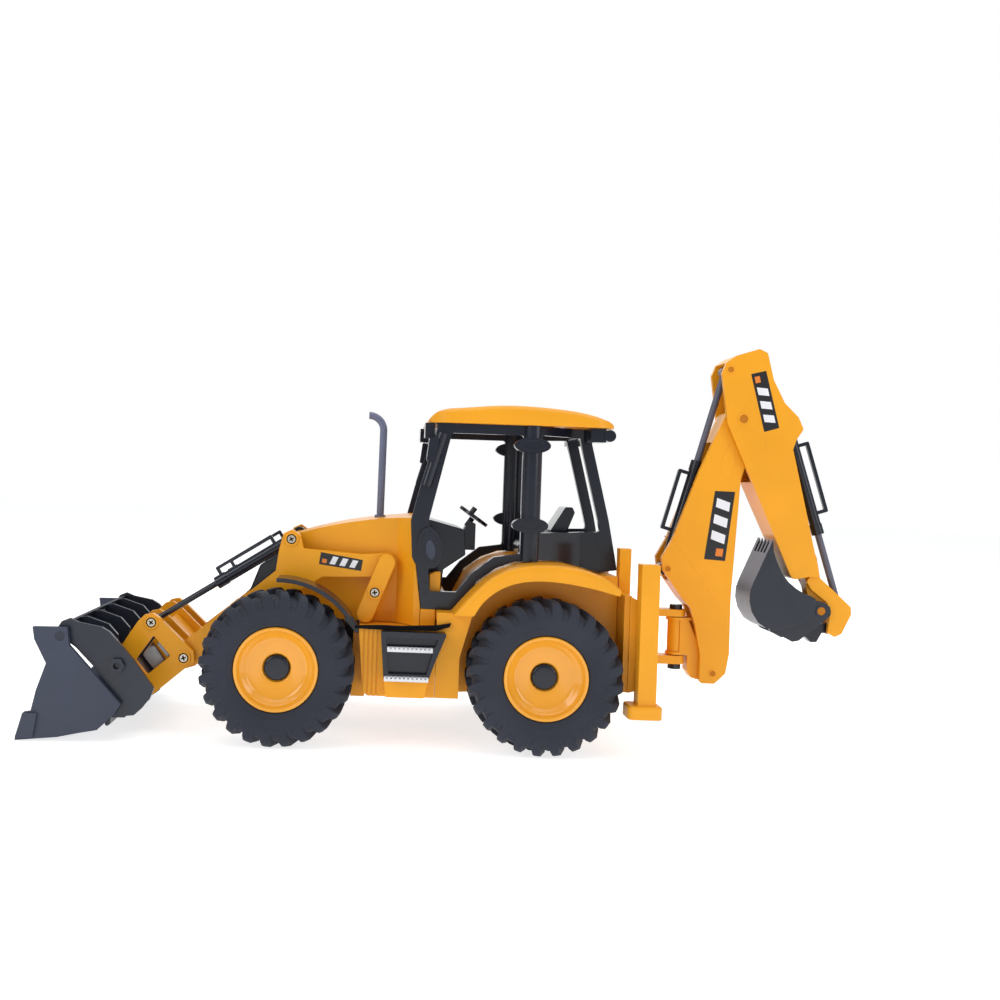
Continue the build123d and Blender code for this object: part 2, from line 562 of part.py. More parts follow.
for side_name, side in (("left", -1), ("right", 1)):
    y_low, y_high = sorted((side * LEG_IN, side * LEG_OUT))
    with BuildPart() as leg:
        block(LEG_FRONT, LEG_REAR, y_low, y_high, 26.0, 101.0)
        fillet(leg.edges().filter_by(Axis.Z), 0.6)
        slot_low, slot_high = sorted((side * (LEG_IN - 1), side * (LEG_IN + 3.6)))
        block(TONGUE_X - TONGUE - 0.35, TONGUE_X + TONGUE + 0.35, slot_low, slot_high, 20.0, 98.0, mode=Mode.SUBTRACT)
    with BuildPart() as pad:
        y_low, y_high = sorted((side * 56.0, side * 72.8))
        block(87.0, 104.6, y_low, y_high, 21.6, 28.4)
        fillet(pad.edges().filter_by(Axis.Z), 3.0)
        fillet(pad.edges().group_by(Axis.Z)[-1], 1.2)
    with BuildPart() as stabiliser:
        add(leg.part)
        add(pad.part)
    pieces[f"{side_name}_stabiliser"] = stabiliser

# ---------------------------------------------------------------- loader arms and bucket bracket
ARM_SIDE = [
    (-33.6, 96.5), (-36.5, 100.4), (-52.2, 99.0), (-84.4, 101.0), (-86.2, 108.2), (-90.6, 111.3), (-95.4, 109.0),
    (-97.6, 100.0), (-99.0, 88.5), (-112.6, 77.0), (-151.2, 45.6), (-153.0, 38.2), (-147.4, 33.4), (-141.0, 35.4),
    (-120.0, 54.5), (-98.0, 70.0), (-79.0, 82.6), (-73.8, 86.2), (-47.7, 87.1), (-36.5, 89.8),
]
CROSS_TUBE = (-126.0, 62.0)
with BuildPart() as loader_arms:
    for side in (-1, 1):
        y_low, y_high = sorted((side * ARM_IN, side * ARM_OUT))
        plate(ARM_SIDE, y_low, y_high, 1.2)
        cross_pin(ARM_PIVOT, y_low - 1, y_high + 1, 2.5 + PIN_FIT, mode=Mode.SUBTRACT)
        cross_pin(BRACKET_PIVOT, y_low - 1, y_high + 1, 2.2 + PIN_FIT, mode=Mode.SUBTRACT)
        y_low, y_high = sorted((side * 24.0, side * ARM_IN))
        cross_pin(KNEE_PIN, y_low, y_high, 2.0)
    cross_pin(CROSS_TUBE, -ARM_IN, ARM_IN, 3.6)
pieces["loader_arms"] = loader_arms

ROD_EYE_HALF = 2.6
with BuildPart() as tilt_barrels:
    for side in (-1, 1):
        y = side * TILT_Y
        rod(along(KNEE_PIN, BRACKET_TOP, 3.0), along(KNEE_PIN, BRACKET_TOP, 48.0), y, RAM_RADIUS)
        rod(along(KNEE_PIN, BRACKET_TOP, 42.0), along(KNEE_PIN, BRACKET_TOP, 48.5), y, RAM_RADIUS + 0.4)
        cross_pin(KNEE_PIN, y - 3.2, y + 3.2, 4.0)
        hose = [along(KNEE_PIN, BRACKET_TOP, 10.0, -2.0), along(KNEE_PIN, BRACKET_TOP, 10.0, -7.0),
                along(KNEE_PIN, BRACKET_TOP, 44.0, -7.0), along(KNEE_PIN, BRACKET_TOP, 44.0, -2.0)]
        for start, end in zip(hose, hose[1:]):
            link(start, end, 0.9, y - 0.9, y + 0.9)
        cross_pin(KNEE_PIN, y - 6, y + 6, 2.0 + PIN_FIT, mode=Mode.SUBTRACT)
        rod(along(KNEE_PIN, BRACKET_TOP, 10.0), along(KNEE_PIN, BRACKET_TOP, 60.0), y, 1.6 + PIN_FIT,
            mode=Mode.SUBTRACT)
pieces["tilt_ram_barrels"] = tilt_barrels

with BuildPart() as tilt_rods:
    for side in (-1, 1):
        y = side * TILT_Y
        rod(along(KNEE_PIN, BRACKET_TOP, 24.0), BRACKET_TOP, y, 1.6)
        cross_pin(BRACKET_TOP, y - ROD_EYE_HALF, y + ROD_EYE_HALF, 3.2)
pieces["tilt_ram_rods"] = tilt_rods

BRACKET_SIDE = [
    (-181.6, 43.8), (-172.0, 59.0), (-168.6, 62.6), (-164.0, 63.6), (-160.4, 61.4),
    (-141.4, 43.6), (-140.8, 38.0), (-144.6, 35.4), (-163.0, 19.6),
]
BRACKET_WINDOW = [(-172.8, 38.1), (-163.2, 51.9), (-153.6, 41.1), (-166.2, 30.3)]
WEB_SIDE = [along(BRACKET_TOP, BRACKET_PIVOT, 4.0, -1.3), along(BRACKET_TOP, BRACKET_PIVOT, 4.0, 1.3),
            along(BRACKET_TOP, BRACKET_PIVOT, 24.0, 1.3), along(BRACKET_TOP, BRACKET_PIVOT, 24.0, -1.3)]
BASE_SIDE = [(-181.6, 43.8), (-179.6, 45.2), (-161.2, 21.2), (-163.0, 19.6)]
with BuildPart() as bucket_bracket:
    for side in (-1, 1):
        for inner, outer in ((37.2, 41.2), (19.0, 21.6)):
            y_low, y_high = sorted((side * inner, side * outer))
            plate(BRACKET_SIDE, y_low, y_high, 1.0)
            plate(BRACKET_WINDOW, y_low - 1, y_high + 1, 1.0, mode=Mode.SUBTRACT)
        y_low, y_high = sorted((side * 21.0, side * 37.5))
        cross_pin(BRACKET_PIVOT, y_low, y_high, 2.2)
        y_low, y_high = sorted((side * (TILT_Y + ROD_EYE_HALF + 0.6), side * 37.5))
        cross_pin(BRACKET_TOP, y_low, y_high, 2.0)
        y_low, y_high = sorted((side * 21.0, side * (TILT_Y - ROD_EYE_HALF - 0.6)))
        cross_pin(BRACKET_TOP, y_low, y_high, 2.0)
    plate(WEB_SIDE, -19.5, 19.5)
    plate(BASE_SIDE, -41.2, 41.2)
pieces["bucket_bracket"] = bucket_bracket

# ---------------------------------------------------------------- loader bucket: ribbed back and opening jaw
BACK_HALF = 66.6
RIB_SIDE = [
    (-209.0, 55.6), (-204.6, 60.6), (-198.4, 61.4), (-186.6, 57.6), (-181.4, 52.0), (-181.8, 44.0),
    (-163.2, 19.8), (-163.6, 17.6), (-170.6, 12.6), (-178.4, 12.4), (-181.6, 17.0), (-181.0, 27.0), (-187.0, 38.0),
    (-198.0, 49.0),
]
OUTER_RIB_SIDE = [
    (-209.0, 56.0), (-205.9, 61.2), (-201.8, 62.9), (-197.1, 61.0), (-185.1, 58.8), (-180.9, 56.4), (-173.4, 48.4),
    (-168.0, 42.3), (-157.2, 28.2), (-159.0, 23.0), (-163.0, 17.7), (-167.0, 13.9), (-174.2, 13.1), (-181.6, 17.0),
    (-181.0, 27.0), (-187.0, 38.0), (-198.0, 49.0),
]
MOULDBOARD = [(-208.6, 55.4), (-206.8, 57.4), (-196.4, 49.8), (-185.2, 38.6), (-179.0, 27.4), (-179.4, 13.8),
              (-182.0, 14.6), (-181.8, 26.6), (-187.4, 37.2), (-198.2, 48.0)]
with BuildPart() as bucket_back:
    for rib_y, rib_outline in ((65.4, OUTER_RIB_SIDE), (44.0, RIB_SIDE), (15.4, RIB_SIDE)):
        for side in (-1, 1):
            y_low, y_high = sorted((side * (rib_y - 1.2), side * (rib_y + 1.2)))
            plate(rib_outline, y_low, y_high, 0.8)
    plate(MOULDBOARD, -BACK_HALF, BACK_HALF)
    rod((-205.6, 57.8), (-199.6, 59.6), 0.0, 0.5)
    plate([(-209.0, 55.6), (-204.6, 60.6), (-201.6, 61.0), (-203.0, 56.4)], -BACK_HALF, BACK_HALF)
    plate([(-178.4, 12.4), (-171.6, 12.6), (-171.0, 15.0), (-180.6, 15.2)], -BACK_HALF, BACK_HALF)
    for side in (-1, 1):
        y_low, y_high = sorted((side * 66.0, side * 70.4))
        cross_pin(JAW_PIVOT, y_low, y_high, 2.4)
        with BuildSketch(Plane.XZ.offset(-max(side * 66.4, side * 68.6))) as boss:
            with Locations((-176.4, 39.4)):
                RegularPolygon(4.2, 6)
                Circle(1.8, mode=Mode.SUBTRACT)
        extrude(boss.sketch, amount=2.2)
pieces["bucket_back"] = bucket_back

CHEEK_SIDE = [
    (-219.7, 58.4), (-218.6, 52.0), (-212.2, 39.9), (-216.9, 25.9), (-219.3, 14.9), (-223.0, 14.4), (-227.0, 0.0),
    (-205.3, 2.2), (-194.6, 4.6), (-184.9, 6.5), (-176.9, 14.4), (-173.3, 20.2), (-200.6, 49.4), (-202.0, 58.7),
]
FLOOR_SIDE = [(-227.0, 0.0), (-205.3, 2.2), (-194.6, 4.6), (-184.9, 6.5), (-182.6, 9.0), (-184.6, 11.2),
              (-196.0, 7.6), (-206.0, 5.4), (-226.4, 2.2)]
with BuildPart() as bucket_jaw:
    plate(FLOOR_SIDE, -BUCKET_HALF, BUCKET_HALF)
    for side in (-1, 1):
        y_low, y_high = sorted((side * 67.4, side * BUCKET_HALF))
        plate(CHEEK_SIDE, y_low, y_high)
        cross_pin(JAW_PIVOT, y_low - 1, y_high + 1, 2.4 + PIN_FIT, mode=Mode.SUBTRACT)
        y_low, y_high = sorted((side * BUCKET_HALF, side * (BUCKET_HALF + 1.4)))
        plate([(-223.0, 14.4), (-215.6, 14.4), (-217.6, 2.0), (-226.6, 1.2)], y_low, y_high, 0.5)
pieces["bucket_jaw"] = bucket_jaw

# ---------------------------------------------------------------- swing casting and boom
with BuildPart() as swing_casting:
    with BuildSketch(Plane.XY.offset(45.8)):
        with Locations((KINGPOST_X, 0)):
            Circle(4.4)
    extrude(amount=21.3)
    for z_low in (45.8, 65.5):
        with BuildSketch(Plane.XY.offset(z_low)):
            with Locations((KINGPOST_X, 0)):
                Circle(5.4)
            with Locations((KINGPOST_X + 4.0, 0)):
                Rectangle(8.0, 9.0)
        extrude(amount=1.6)
    plate([(130.0, 67.1), (134.2, 67.1), (139.0, 56.0), (148.0, 42.0), (148.0, 30.8), (137.4, 33.0), (134.6, 37.0),
           (134.6, 45.8), (130.0, 45.8)], -4.8, 4.8)
    cross_pin(BOOM_FOOT, -4.8, 4.8, 5.4)
    with BuildSketch(Plane.XY.offset(40.0)):
        with Locations((KINGPOST_X, 0)):
            Circle(2.5 + PIN_FIT)
    extrude(amount=32.0, mode=Mode.SUBTRACT)
    cross_pin(BOOM_FOOT, -10, 10, 2.5 + PIN_FIT, mode=Mode.SUBTRACT)
pieces["swing_casting"] = swing_casting

BOOM_SIDE = [
    (117.2, 101.2), (118.2, 94.0), (129.6, 78.4), (134.4, 73.4), (137.4, 64.0), (141.0, 47.0), (141.0, 30.6),
    (149.6, 30.6), (155.6, 36.6), (157.4, 48.0), (157.2, 80.0), (160.6, 147.0), (168.0, 172.0), (169.0, 184.0),
    (161.0, 189.5), (151.4, 184.5), (137.2, 151.7), (123.3, 112.4),
]
BOOM_HOLLOW = [
    (140.2, 151.0), (127.0, 112.6), (122.6, 102.0), (122.0, 97.4), (132.6, 82.4), (137.6, 75.6), (143.6, 62.0),
    (154.0, 60.0), (154.0, 82.0), (157.2, 147.6), (164.4, 172.0), (161.0, 184.0), (153.6, 182.6),
]
RAM_SLOT = [(110.0, 90.0), (121.6, 86.0), (127.0, 96.0), (142.0, 140.0), (150.0, 166.0), (130.0, 172.0)]
with BuildPart() as boom:
    plate(BOOM_SIDE, -BOOM_OUT, BOOM_OUT, 2.0)
    plate(BOOM_HOLLOW, -BOOM_IN, BOOM_IN, 1.5, mode=Mode.SUBTRACT)
    plate(RAM_SLOT, -BOOM_IN, BOOM_IN, mode=Mode.SUBTRACT)
    plate([(125.0, 74.6), (140.0, 74.6), (158.0, 52.0), (158.0, 20.0), (125.0, 20.0)], -BOOM_IN, BOOM_IN,
          mode=Mode.SUBTRACT)
    cross_pin(DIPPER_PIVOT, -10, 10, 2.5 + PIN_FIT, mode=Mode.SUBTRACT)
    cross_pin(BOOM_FOOT, -BOOM_OUT, BOOM_OUT, 2.5)
    cross_pin(DIPPER_RAM_BASE, -BOOM_OUT, BOOM_OUT, 2.0)
pieces["boom"] = boom

# ---------------------------------------------------------------- dipper and its ram
DIPPER_SIDE = [
    (147.1, 206.8), (149.5, 213.0), (155.0, 217.0), (167.9, 221.2), (172.5, 219.1), (176.4, 203.9), (183.1, 191.1),
    (191.2, 183.2), (194.2, 176.6), (190.4, 170.6), (188.6, 165.0), (207.3, 93.0),
    (201.1, 93.2), (193.1, 91.5), (190.9, 92.8), (171.0, 135.4), (151.2, 178.4),
]
DIPPER_HOLLOW = [
    (150.0, 206.0), (151.4, 212.2), (156.4, 214.8), (167.0, 217.4), (169.4, 216.0), (173.2, 202.6), (180.2, 189.0),
    (184.0, 180.0), (181.6, 166.0), (197.6, 101.0), (191.0, 100.0), (175.6, 133.4),
    (155.6, 179.0),
]
TIP_ROOT = (202.8, 103.0)
DIPPER_TAPER = [(DIPPER_OUT, 225.0), (DIPPER_OUT, 160.0), (9.0, 92.0), (9.0, 60.0)]


def taper_face(x, shrink):
    """Front view of the dipper: parallel at the head, narrowing towards the tip."""
    with BuildSketch(Plane.YZ.offset(x)) as front:
        with BuildLine():
            Polyline(*[(y - shrink, z) for y, z in DIPPER_TAPER],
                     *[(shrink - y, z) for y, z in reversed(DIPPER_TAPER)], close=True)
        make_face()
    return front.sketch


with BuildPart() as dipper_core:
    plate(DIPPER_HOLLOW, -DIPPER_IN, DIPPER_IN, 1.2)
    extrude(taper_face(130.0, DIPPER_OUT - DIPPER_IN), amount=100.0, mode=Mode.INTERSECT)

with BuildPart() as dipper:
    plate(DIPPER_SIDE, -DIPPER_OUT, DIPPER_OUT, 1.6)
    extrude(taper_face(130.0, 0.0), amount=100.0, mode=Mode.INTERSECT)
    add(dipper_core.part, mode=Mode.SUBTRACT)
    # the boom swings through the open front between the side plates
    plate([(136.0, 216.0), (148.0, 214.0), (168.0, 200.0), (176.0, 180.0), (172.0, 150.0), (164.2, 144.0),
           (150.0, 150.0), (136.0, 170.0)], -DIPPER_IN, DIPPER_IN, mode=Mode.SUBTRACT)
    plate([(182.0, 186.0), (198.0, 188.0), (222.0, 118.0), (201.6, 112.0), (184.0, 168.0)], -4.6, 4.6,
          mode=Mode.SUBTRACT)
    # pocket that the tipping link turns in, open towards the right
    cross_pin(TIP_PIVOT, -TIP_LINK_OUT - 0.4, TIP_LINK_OUT + 0.4, 6.6, mode=Mode.SUBTRACT)
    plate([(198.2, 90.0), (199.6, 95.6), (206.4, 107.6), (214.0, 107.6), (214.0, 88.0)],
          -TIP_LINK_OUT - 0.4, TIP_LINK_OUT + 0.4, mode=Mode.SUBTRACT)
    link(BUCKET_PIVOT, TIP_ROOT, 4.3, -TIP_HALF, TIP_HALF)
    cross_pin(DIPPER_PIVOT, -DIPPER_OUT, DIPPER_OUT, 2.5)
    cross_pin(BUCKET_RAM_BASE, -DIPPER_OUT, DIPPER_OUT, 2.0)
    cross_pin(BUCKET_PIVOT, -10, 10, 1.8 + PIN_FIT, mode=Mode.SUBTRACT)
    cross_pin(TIP_PIVOT, -10, 10, 1.6 + PIN_FIT, mode=Mode.SUBTRACT)
pieces["dipper"] = dipper


def ram_barrel(base, eye, length, eye_half, bore_depth, hose_side, hose_from, hose_to):
    """Ram barrel on its base pin, with its moulded hose loop, bored for the rod."""
    rod(along(base, eye, 2.5), along(base, eye, length), 0.0, RAM_RADIUS)
    rod(along(base, eye, length - 6.0), along(base, eye, length), 0.0, RAM_RADIUS + 0.4)
    cross_pin(base, -eye_half, eye_half, 4.0)
    hose = [along(base, eye, hose_from, hose_side * 2.0), along(base, eye, hose_from, hose_side * 8.0),
            along(base, eye, hose_to, hose_side * 8.0), along(base, eye, hose_to, hose_side * 2.0)]
    for start, end in zip(hose, hose[1:]):
        link(start, end, 1.0, -1.0, 1.0)
    cross_pin(base, -10, 10, 2.0 + PIN_FIT, mode=Mode.SUBTRACT)
    rod(along(base, eye, bore_depth), along(base, eye, length + 5.0), 0.0, RAM_ROD_RADIUS + PIN_FIT,
        mode=Mode.SUBTRACT)


with BuildPart() as dipper_ram_barrel:
    ram_barrel(DIPPER_RAM_BASE, DIPPER_RAM_EYE, 64.0, 3.4, 8.0, 1, 22.0, 56.0)
pieces["dipper_ram_barrel"] = dipper_ram_barrel

with BuildPart() as dipper_ram_rod:
    rod(along(DIPPER_RAM_BASE, DIPPER_RAM_EYE, 53.0), DIPPER_RAM_EYE, 0.0, RAM_ROD_RADIUS)
    cross_pin(DIPPER_RAM_EYE, -3.0, 3.0, 3.0)
pieces["dipper_ram_rod"] = dipper_ram_rod

with BuildPart() as bucket_ram_barrel:
    ram_barrel(BUCKET_RAM_BASE, BUCKET_RAM_EYE, 64.0, 3.4, 24.0, 1, 12.0, 52.0)
pieces["bucket_ram_barrel"] = bucket_ram_barrel

with BuildPart() as bucket_ram_rod:
    rod(along(BUCKET_RAM_BASE, BUCKET_RAM_EYE, 56.0), BUCKET_RAM_EYE, 0.0, RAM_ROD_RADIUS)
    cross_pin(BUCKET_RAM_EYE, -3.0, 3.0, 3.2)
pieces["bucket_ram_rod"] = bucket_ram_rod

# ---------------------------------------------------------------- tipping link, bucket link and digging bucket
TIP_LINK_SIDE = [
    (200.6, 90.4), (202.4, 93.6), (206.0, 94.4), (218.5, 83.6), (226.2, 76.6), (226.6, 72.4), (221.4, 61.2),
    (217.6, 59.3), (213.4, 61.6), (213.9, 68.6), (214.9, 74.2), (212.1, 79.0), (203.0, 86.0),
]
with BuildPart() as tipping_link:
    for side in (-1, 1):
        y_low, y_high = sorted((side * TIP_LINK_IN, side * TIP_LINK_OUT))
        plate(TIP_LINK_SIDE, y_low, y_high, 1.0)
    cross_pin(TIP_PIVOT, -TIP_LINK_OUT, TIP_LINK_OUT, 1.6)
pieces["tipping_link"] = tipping_link

with BuildPart() as bucket_link:
    plate([(219.4, 66.2), (217.4, 60.6), (211.6, 61.0), (208.8, 55.6), (205.4, 55.4), (202.4, 58.4),
           (193.2, 57.6), (192.4, 62.6), (204.0, 64.0), (214.0, 66.8)], -3.4, 3.4, 0.8)
    cross_pin(BUCKET_LINK_PIN, -3.4, 3.4, 3.2)
    cross_pin(BUCKET_LINK_PIN, -10, 10, 1.6 + PIN_FIT, mode=Mode.SUBTRACT)
pieces["bucket_link"] = bucket_link

SCOOP_SIDE = [
    (178.6, 113.8), (179.2, 107.1), (181.4, 101.2), (184.3, 94.9), (188.2, 90.1), (192.7, 86.5), (197.1, 84.0),
    (201.5, 82.5), (203.7, 81.0), (203.9, 75.0), (200.6, 69.0), (190.0, 64.8), (182.8, 62.6), (176.2, 63.8),
    (171.8, 66.6), (168.0, 72.4), (166.4, 78.6), (166.7, 84.5), (168.6, 90.0), (171.0, 95.5),
]
SCOOP_HOLLOW = [
    (181.0, 113.0), (174.2, 97.0), (171.0, 90.0), (169.0, 84.0), (168.9, 78.8), (170.3, 73.4), (173.6, 68.6),
    (177.4, 66.2), (183.2, 65.0), (189.4, 67.2), (198.6, 70.8), (201.6, 76.2), (201.6, 90.0),
]
EAR_SIDE = [
    (200.6, 81.0), (203.6, 80.2), (209.4, 79.2), (213.2, 76.6), (213.6, 72.2), (210.6, 68.9), (196.0, 57.0),
    (192.4, 56.2), (188.0, 58.4), (180.0, 61.6), (176.6, 67.0), (186.0, 70.0),
]
with BuildPart() as digging_bucket:
    plate(SCOOP_SIDE, -DIG_BUCKET_HALF, DIG_BUCKET_HALF)
    for side in (-1, 1):
        y_low, y_high = sorted((side * EAR_IN, side * EAR_OUT))
        plate(EAR_SIDE, y_low, y_high, 0.6)
    plate(SCOOP_HOLLOW, -DIG_BUCKET_HALF + 2.0, DIG_BUCKET_HALF - 2.0, mode=Mode.SUBTRACT)
    link(BUCKET_PIVOT, TIP_ROOT, 4.8, -TIP_HALF - 0.5, TIP_HALF + 0.5, mode=Mode.SUBTRACT)
    cross_pin(BUCKET_PIVOT, -EAR_OUT, EAR_OUT, 1.8)
    cross_pin(BUCKET_LINK_PIN, -EAR_OUT, EAR_OUT, 1.6)
    # lip cut back between the teeth
    for gap in range(4):
        y_gap = -7.8 + 5.2 * gap
        plate([(160.0, 106.0), (183.0, 106.0), (183.0, 118.0), (160.0, 118.0)], y_gap - 1.4, y_gap + 1.4,
              mode=Mode.SUBTRACT)
pieces["digging_bucket"] = digging_bucket

# ---------------------------------------------------------------- screws
with BuildPart() as arm_screws:
    for side in (-1, 1):
        y_low, y_high = sorted((side * ARM_OUT, side * (ARM_OUT + 0.8)))
        cross_pin(KNEE_PIN, y_low, y_high, 2.2)
pieces["arm_screws"] = arm_screws

with BuildPart() as tower_screws:
    for side in (-1, 1):
        y_low, y_high = sorted((side * TOWER_OUT, side * (TOWER_OUT + 0.7)))
        cross_pin((-44.9, 79.0), y_low, y_high, 2.2)
pieces["tower_screws"] = tower_screws

with BuildPart() as bracket_screws:
    for side in (-1, 1):
        for centre in (BRACKET_TOP, BRACKET_PIVOT):
            y_low, y_high = sorted((side * 41.2, side * 41.9))
            cross_pin(centre, y_low, y_high, 2.2)
pieces["bracket_screws"] = bracket_screws

# ---------------------------------------------------------------- write every piece
for piece_name, piece in pieces.items():
    piece.part.label = piece_name
    export_step(piece.part, f"parts/{piece_name}.step")
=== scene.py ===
import json
import math

import bmesh
import bpy
from mathutils import Matrix, Vector


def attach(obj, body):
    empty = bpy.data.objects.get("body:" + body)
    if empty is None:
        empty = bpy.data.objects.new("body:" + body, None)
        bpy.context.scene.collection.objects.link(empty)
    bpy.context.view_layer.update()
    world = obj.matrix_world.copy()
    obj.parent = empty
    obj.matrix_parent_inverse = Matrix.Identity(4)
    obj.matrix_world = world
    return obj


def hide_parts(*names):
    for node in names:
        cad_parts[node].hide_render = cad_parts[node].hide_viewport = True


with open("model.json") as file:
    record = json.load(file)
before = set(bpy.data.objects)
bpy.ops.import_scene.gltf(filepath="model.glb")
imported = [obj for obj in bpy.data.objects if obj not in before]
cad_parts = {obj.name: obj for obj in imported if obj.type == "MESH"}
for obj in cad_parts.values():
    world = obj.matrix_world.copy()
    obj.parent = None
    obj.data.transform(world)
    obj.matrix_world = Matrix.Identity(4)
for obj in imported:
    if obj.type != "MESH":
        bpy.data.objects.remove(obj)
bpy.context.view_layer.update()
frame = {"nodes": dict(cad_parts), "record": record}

NODE_BODY = {n: body for body, nodes in frame["record"]["behaviour"]["bodies"].items() for n in nodes}
NODE_SLOT = {s["node"]: s["material_slot"] for s in frame["record"]["subparts"]}
MM = 0.001


# ---------------------------------------------------------------- materials
def plastic(name, color, roughness, mottle=0.04, grain=0.02, grain_scale=2600.0, coat=0.0, metallic=0.0,
            sheen=0.0, shine=0.5):
    """Moulded plastic: faint colour drift, uneven gloss and a fine mould texture."""
    material = bpy.data.materials.new(name)
    material.use_nodes = True
    nodes, links = material.node_tree.nodes, material.node_tree.links
    shader = nodes["Principled BSDF"]
    shader.inputs["Metallic"].default_value = metallic
    shader.inputs["Specular IOR Level"].default_value = shine
    shader.inputs["Coat Weight"].default_value = coat
    shader.inputs["Coat Roughness"].default_value = 0.12
    shader.inputs["Sheen Weight"].default_value = sheen
    place = nodes.new("ShaderNodeTexCoord")

    def noise(scale, detail):
        texture = nodes.new("ShaderNodeTexNoise")
        texture.inputs["Scale"].default_value = scale
        texture.inputs["Detail"].default_value = detail
        links.new(place.outputs["Object"], texture.inputs["Vector"])
        return texture

    drift = noise(38.0, 3.0)
    ramp = nodes.new("ShaderNodeValToRGB")
    ramp.color_ramp.elements[0].position = 0.3
    ramp.color_ramp.elements[1].position = 0.7
    ramp.color_ramp.elements[0].color = [max(c * (1 - mottle), 0) for c in color] + [1]
    ramp.color_ramp.elements[1].color = [min(c * (1 + mottle), 1) for c in color] + [1]
    links.new(drift.outputs["Fac"], ramp.inputs["Fac"])
    links.new(ramp.outputs["Color"], shader.inputs["Base Color"])

    gloss = noise(160.0, 4.0)
    spread = nodes.new("ShaderNodeMapRange")
    spread.inputs["To Min"].default_value = roughness * 0.86
    spread.inputs["To Max"].default_value = roughness * 1.16
    links.new(gloss.outputs["Fac"], spread.inputs["Value"])
    links.new(spread.outputs["Result"], shader.inputs["Roughness"])

    fine = noise(grain_scale, 2.0)
    bump = nodes.new("ShaderNodeBump")
    bump.inputs["Strength"].default_value = grain
    bump.inputs["Distance"].default_value = 0.0002
    links.new(fine.outputs["Fac"], bump.inputs["Height"])
    links.new(bump.outputs["Normal"], shader.inputs["Normal"])
    return material


YELLOW = plastic("yellow_plastic", (0.84, 0.355, 0.012), 0.36, coat=0.05, shine=0.3)
RIM_YELLOW = plastic("rim_yellow_plastic", (0.86, 0.37, 0.02), 0.2, coat=0.45)
# painted shade: a deeper yellow laid flat in the middle of each pin end to stand for the shade in its dish
DISH_SHADE_YELLOW = plastic("yellow_painted_dish_shade", (0.5, 0.17, 0.008), 0.5, shine=0.2)
NAVY = plastic("navy_plastic", (0.008, 0.011, 0.021), 0.22, mottle=0.15, coat=0.12, shine=0.4)
SLATE = plastic("slate_plastic", (0.046, 0.054, 0.082), 0.4, mottle=0.08, grain=0.05, shine=0.3)
DARK_SLATE = plastic("dark_slate_plastic", (0.014, 0.018, 0.03), 0.34, mottle=0.1, grain=0.05, shine=0.5)
TYRE = plastic("tyre_rubber", (0.026, 0.03, 0.044), 0.66, mottle=0.14, grain=0.12, grain_scale=1900.0,
               sheen=0.06, shine=0.25)
GREY = plastic("grey_plastic", (0.1, 0.105, 0.15), 0.34, mottle=0.06)
STACK_GREY = plastic("stack_grey", (0.13, 0.145, 0.23), 0.36, mottle=0.06)
SCREW = plastic("plated_screw", (0.55, 0.5, 0.42), 0.26, mottle=0.1, metallic=1.0, grain=0.04)
SILVER = plastic("silver_paint", (0.72, 0.73, 0.76), 0.42, mottle=0.1, grain=0.15, metallic=0.1)
LABEL = plastic("label_black", (0.012, 0.012, 0.014), 0.3, grain=0.01)
LABEL_PALE = plastic("label_pale", (0.8, 0.81, 0.86), 0.35, grain=0.01)
LABEL_ORANGE = plastic("label_orange", (0.75, 0.2, 0.02), 0.35, grain=0.01)
# painted shade: near-black colour for the shade inside gaps and in the recess round the screw heads
PAINTED_GAP_SHADE = plastic("painted_gap_shade", (0.006, 0.006, 0.008), 0.8, shine=0.1)

SLOT_MATERIAL = {
    "yellow_body": YELLOW, "yellow_rim": RIM_YELLOW, "navy_trim": NAVY, "tyre_rubber": TYRE,
    "bucket_grey": SLATE, "rod_grey": GREY, "screw_steel": SCREW, "tread_silver": SILVER,
}


def paint(obj, material):
    obj.data.materials.clear()
    obj.data.materials.append(material)


NODE_MATERIAL = {"exhaust_stack": STACK_GREY, "bucket_back": DARK_SLATE, "swing_pin": NAVY,
                 "tilt_ram_rods": NAVY, "digging_bucket": DARK_SLATE}
for node, obj in frame["nodes"].items():
    paint(obj, NODE_MATERIAL.get(node, SLOT_MATERIAL[NODE_SLOT[node]]))


# ---------------------------------------------------------------- mesh helpers
def add_object(name, mesh, material):
    obj = bpy.data.objects.new(name, mesh)
    bpy.context.scene.collection.objects.link(obj)
    paint(obj, material)
    return obj


def apply_modifiers(obj):
    bpy.context.view_layer.update()
    graph = bpy.context.evaluated_depsgraph_get()
    final = bpy.data.meshes.new_from_object(obj.evaluated_get(graph))
    obj.modifiers.clear()
    obj.data = final


def round_edges(obj, width, segments=2, angle=32):
    """Rounds the sharp edges the way a mould does, and shades by true face weight."""
    bevel = obj.modifiers.new("bevel", "BEVEL")
    bevel.width = width * MM
    bevel.segments = segments
    bevel.limit_method = "ANGLE"
    bevel.angle_limit = math.radians(angle)
    bevel.use_clamp_overlap = True
    bevel.harden_normals = True
    bevel.miter_outer = "MITER_ARC"
    weighted = obj.modifiers.new("weighted", "WEIGHTED_NORMAL")
    weighted.keep_sharp = True
    apply_modifiers(obj)


def softened(node, width, segments=2, angle=32):
    """Copy of a CAD node with its edges rounded, standing for that node."""
    source = frame["nodes"][node]
    work = bmesh.new()
    work.from_mesh(source.data)
    bmesh.ops.remove_doubles(work, verts=work.verts, dist=2e-6)
    bmesh.ops.dissolve_limit(work, angle_limit=math.radians(0.6), verts=work.verts, edges=work.edges,
                             delimit={"NORMAL"})
    for face in work.faces:
        face.smooth = True
    mesh = bpy.data.meshes.new(node + "_moulding")
    work.to_mesh(mesh)
    work.free()
    piece = add_object(node + "_moulding", mesh, source.data.materials[0])
    round_edges(piece, width, segments, angle)
    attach(piece, NODE_BODY[node])
    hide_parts(node)
    return piece


